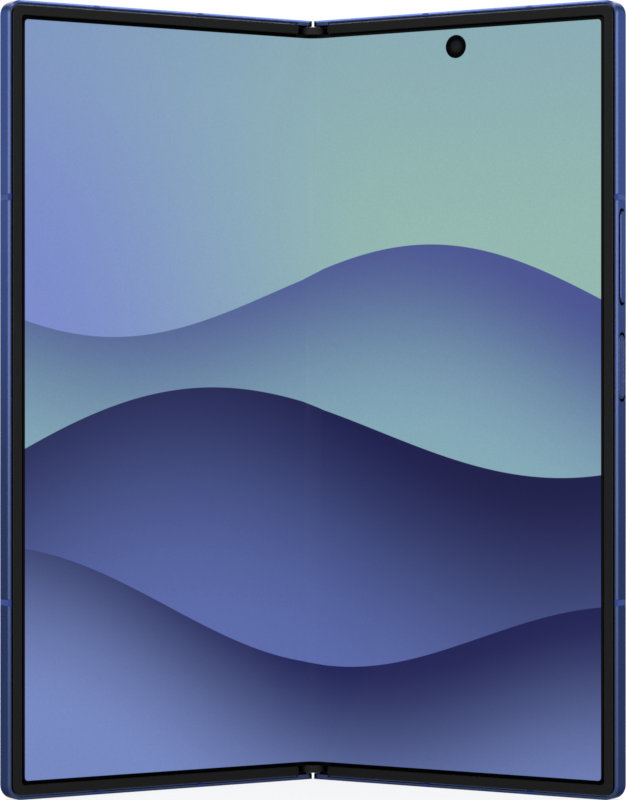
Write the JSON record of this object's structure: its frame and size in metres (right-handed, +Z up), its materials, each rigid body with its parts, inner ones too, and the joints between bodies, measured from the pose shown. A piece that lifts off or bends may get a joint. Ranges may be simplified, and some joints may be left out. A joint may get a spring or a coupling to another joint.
{
  "type": "foldable smartphone",
  "caption": "Book-style foldable phone, standing half open: two thin halves on a geared hinge, with a bending inner display, a cover display and a camera block.",
  "frame": {"origin": "on the ground plane, midway across the outline: X = 0 is the fold line", "axes": "+Z up along the fold, +X to the right seen from the inner display's side, -Y towards that viewer"},
  "size_m": [0.1242, 0.0412, 0.1584],
  "materials": {
    "blue_metal": "satin anodised, dark blue",
    "blue_bands": "satin plastic, darker blue",
    "steel": "fine ground",
    "black_plastic": "fine matt",
    "bezel": "matt, slightly soft",
    "screen": "lit display under a clear film",
    "dark_glass": "gloss",
    "blue_glass": "satin",
    "lens_glass": "coated gloss",
    "battery": "matt foil",
    "board": "satin",
    "copper": "enamelled",
    "ivory": "gloss"
  },
  "bodies": {
    "hinge_spine": {"spine_cover": "blue_metal", "hinge_base_top": "steel", "hinge_base_bottom": "steel", "hinge_pins": "steel", "pressure_collars": "steel", "hinge_springs": "steel", "hinge_cap_top": "black_plastic", "hinge_cap_bottom": "black_plastic", "spine_screws": "steel", "fold_display": "screen", "flex_cable_upper": "black_plastic", "flex_cable_lower": "black_plastic"},
    "left_idlers": {"idler_gears_left": "steel"},
    "right_idlers": {"idler_gears_right": "steel"},
    "left_half": {"left_arm_top": "steel", "left_arm_bottom": "steel", "left_arm_screws": "steel", "left_frame": "blue_metal", "left_antenna_breaks": "blue_bands", "left_bezel": "bezel", "display_left": "screen", "left_support_plate": "steel", "left_battery": "battery", "left_board": "board", "cover_glass": "dark_glass", "cover_display": "screen", "cover_camera": "black_plastic", "top_speaker": "black_plastic", "sim_holder": "steel"},
    "right_half": {"right_arm_top": "steel", "right_arm_bottom": "steel", "right_arm_screws": "steel", "right_frame": "blue_metal", "right_antenna_breaks": "blue_bands", "right_bezel": "bezel", "display_right": "screen", "right_support_plate": "steel", "right_battery": "battery", "wireless_coil": "copper", "main_board": "board", "sub_board": "board", "inner_camera": "black_plastic", "inner_camera_lens": "lens_glass", "camera_wide": "black_plastic", "camera_ultrawide": "black_plastic", "camera_tele": "black_plastic", "camera_block": "blue_metal", "camera_rings": "blue_metal", "camera_glasses": "lens_glass", "flash_lens": "ivory", "back_glass": "blue_glass", "usb_c_port": "steel", "bottom_speaker": "black_plastic", "vibration_motor": "steel", "key_flex": "copper"},
    "volume_key": {"volume_key": "blue_metal"},
    "side_key": {"side_key": "blue_metal", "fingerprint_sensor": "blue_bands"},
    "sim_tray": {"sim_tray": "blue_metal"},
    "sim_ejector": {"sim_ejector": "steel"}
  },
  "joints": [
    {"name": "left_fold", "type": "hinge", "parent": "hinge_spine", "child": "left_half", "pos_m": [-0.002, 0.01755, 0.0792], "axis": [0, 0, 1], "range_deg": [-32, 58], "deforming": ["fold_display", "flex_cable_upper", "flex_cable_lower"]},
    {"name": "right_fold", "type": "hinge", "parent": "hinge_spine", "child": "right_half", "pos_m": [0.002, 0.01755, 0.0792], "axis": [0, 0, -1], "range_deg": [-32, 58]},
    {"name": "left_idler_turn", "type": "hinge", "parent": "hinge_spine", "child": "left_idlers", "pos_m": [-0.00067, 0.01755, 0.0792], "axis": [0, 0, -1], "range_deg": [-32, 58]},
    {"name": "right_idler_turn", "type": "hinge", "parent": "hinge_spine", "child": "right_idlers", "pos_m": [0.00067, 0.01755, 0.0792], "axis": [0, 0, 1], "range_deg": [-32, 58]},
    {"name": "volume_rock", "type": "hinge", "parent": "right_half", "child": "volume_key", "pos_m": [0.05981, -0.01816, 0.10752], "axis": [0.5299, 0.848, 0], "range_deg": [-1.2, 1.2], "stiffness_Nm_per_rad": 0.4},
    {"name": "side_key_press", "type": "slide", "parent": "right_half", "child": "side_key", "axis": [-0.848, 0.5299, 0], "range_m": [0, 0.00025], "stiffness_N_per_m": 6000},
    {"name": "sim_tray_slide", "type": "slide", "parent": "left_half", "child": "sim_tray", "axis": [0, 0, 1], "range_m": [0, 0.012]},
    {"name": "sim_ejector_press", "type": "slide", "parent": "left_half", "child": "sim_ejector", "axis": [0, 0, -1], "range_m": [0, 0.001]}
  ],
  "couplings": [
    {"joint": "right_fold", "follows": "left_fold", "ratio": 1},
    {"joint": "left_idler_turn", "follows": "left_fold", "ratio": 1},
    {"joint": "right_idler_turn", "follows": "left_fold", "ratio": 1}
  ]
}
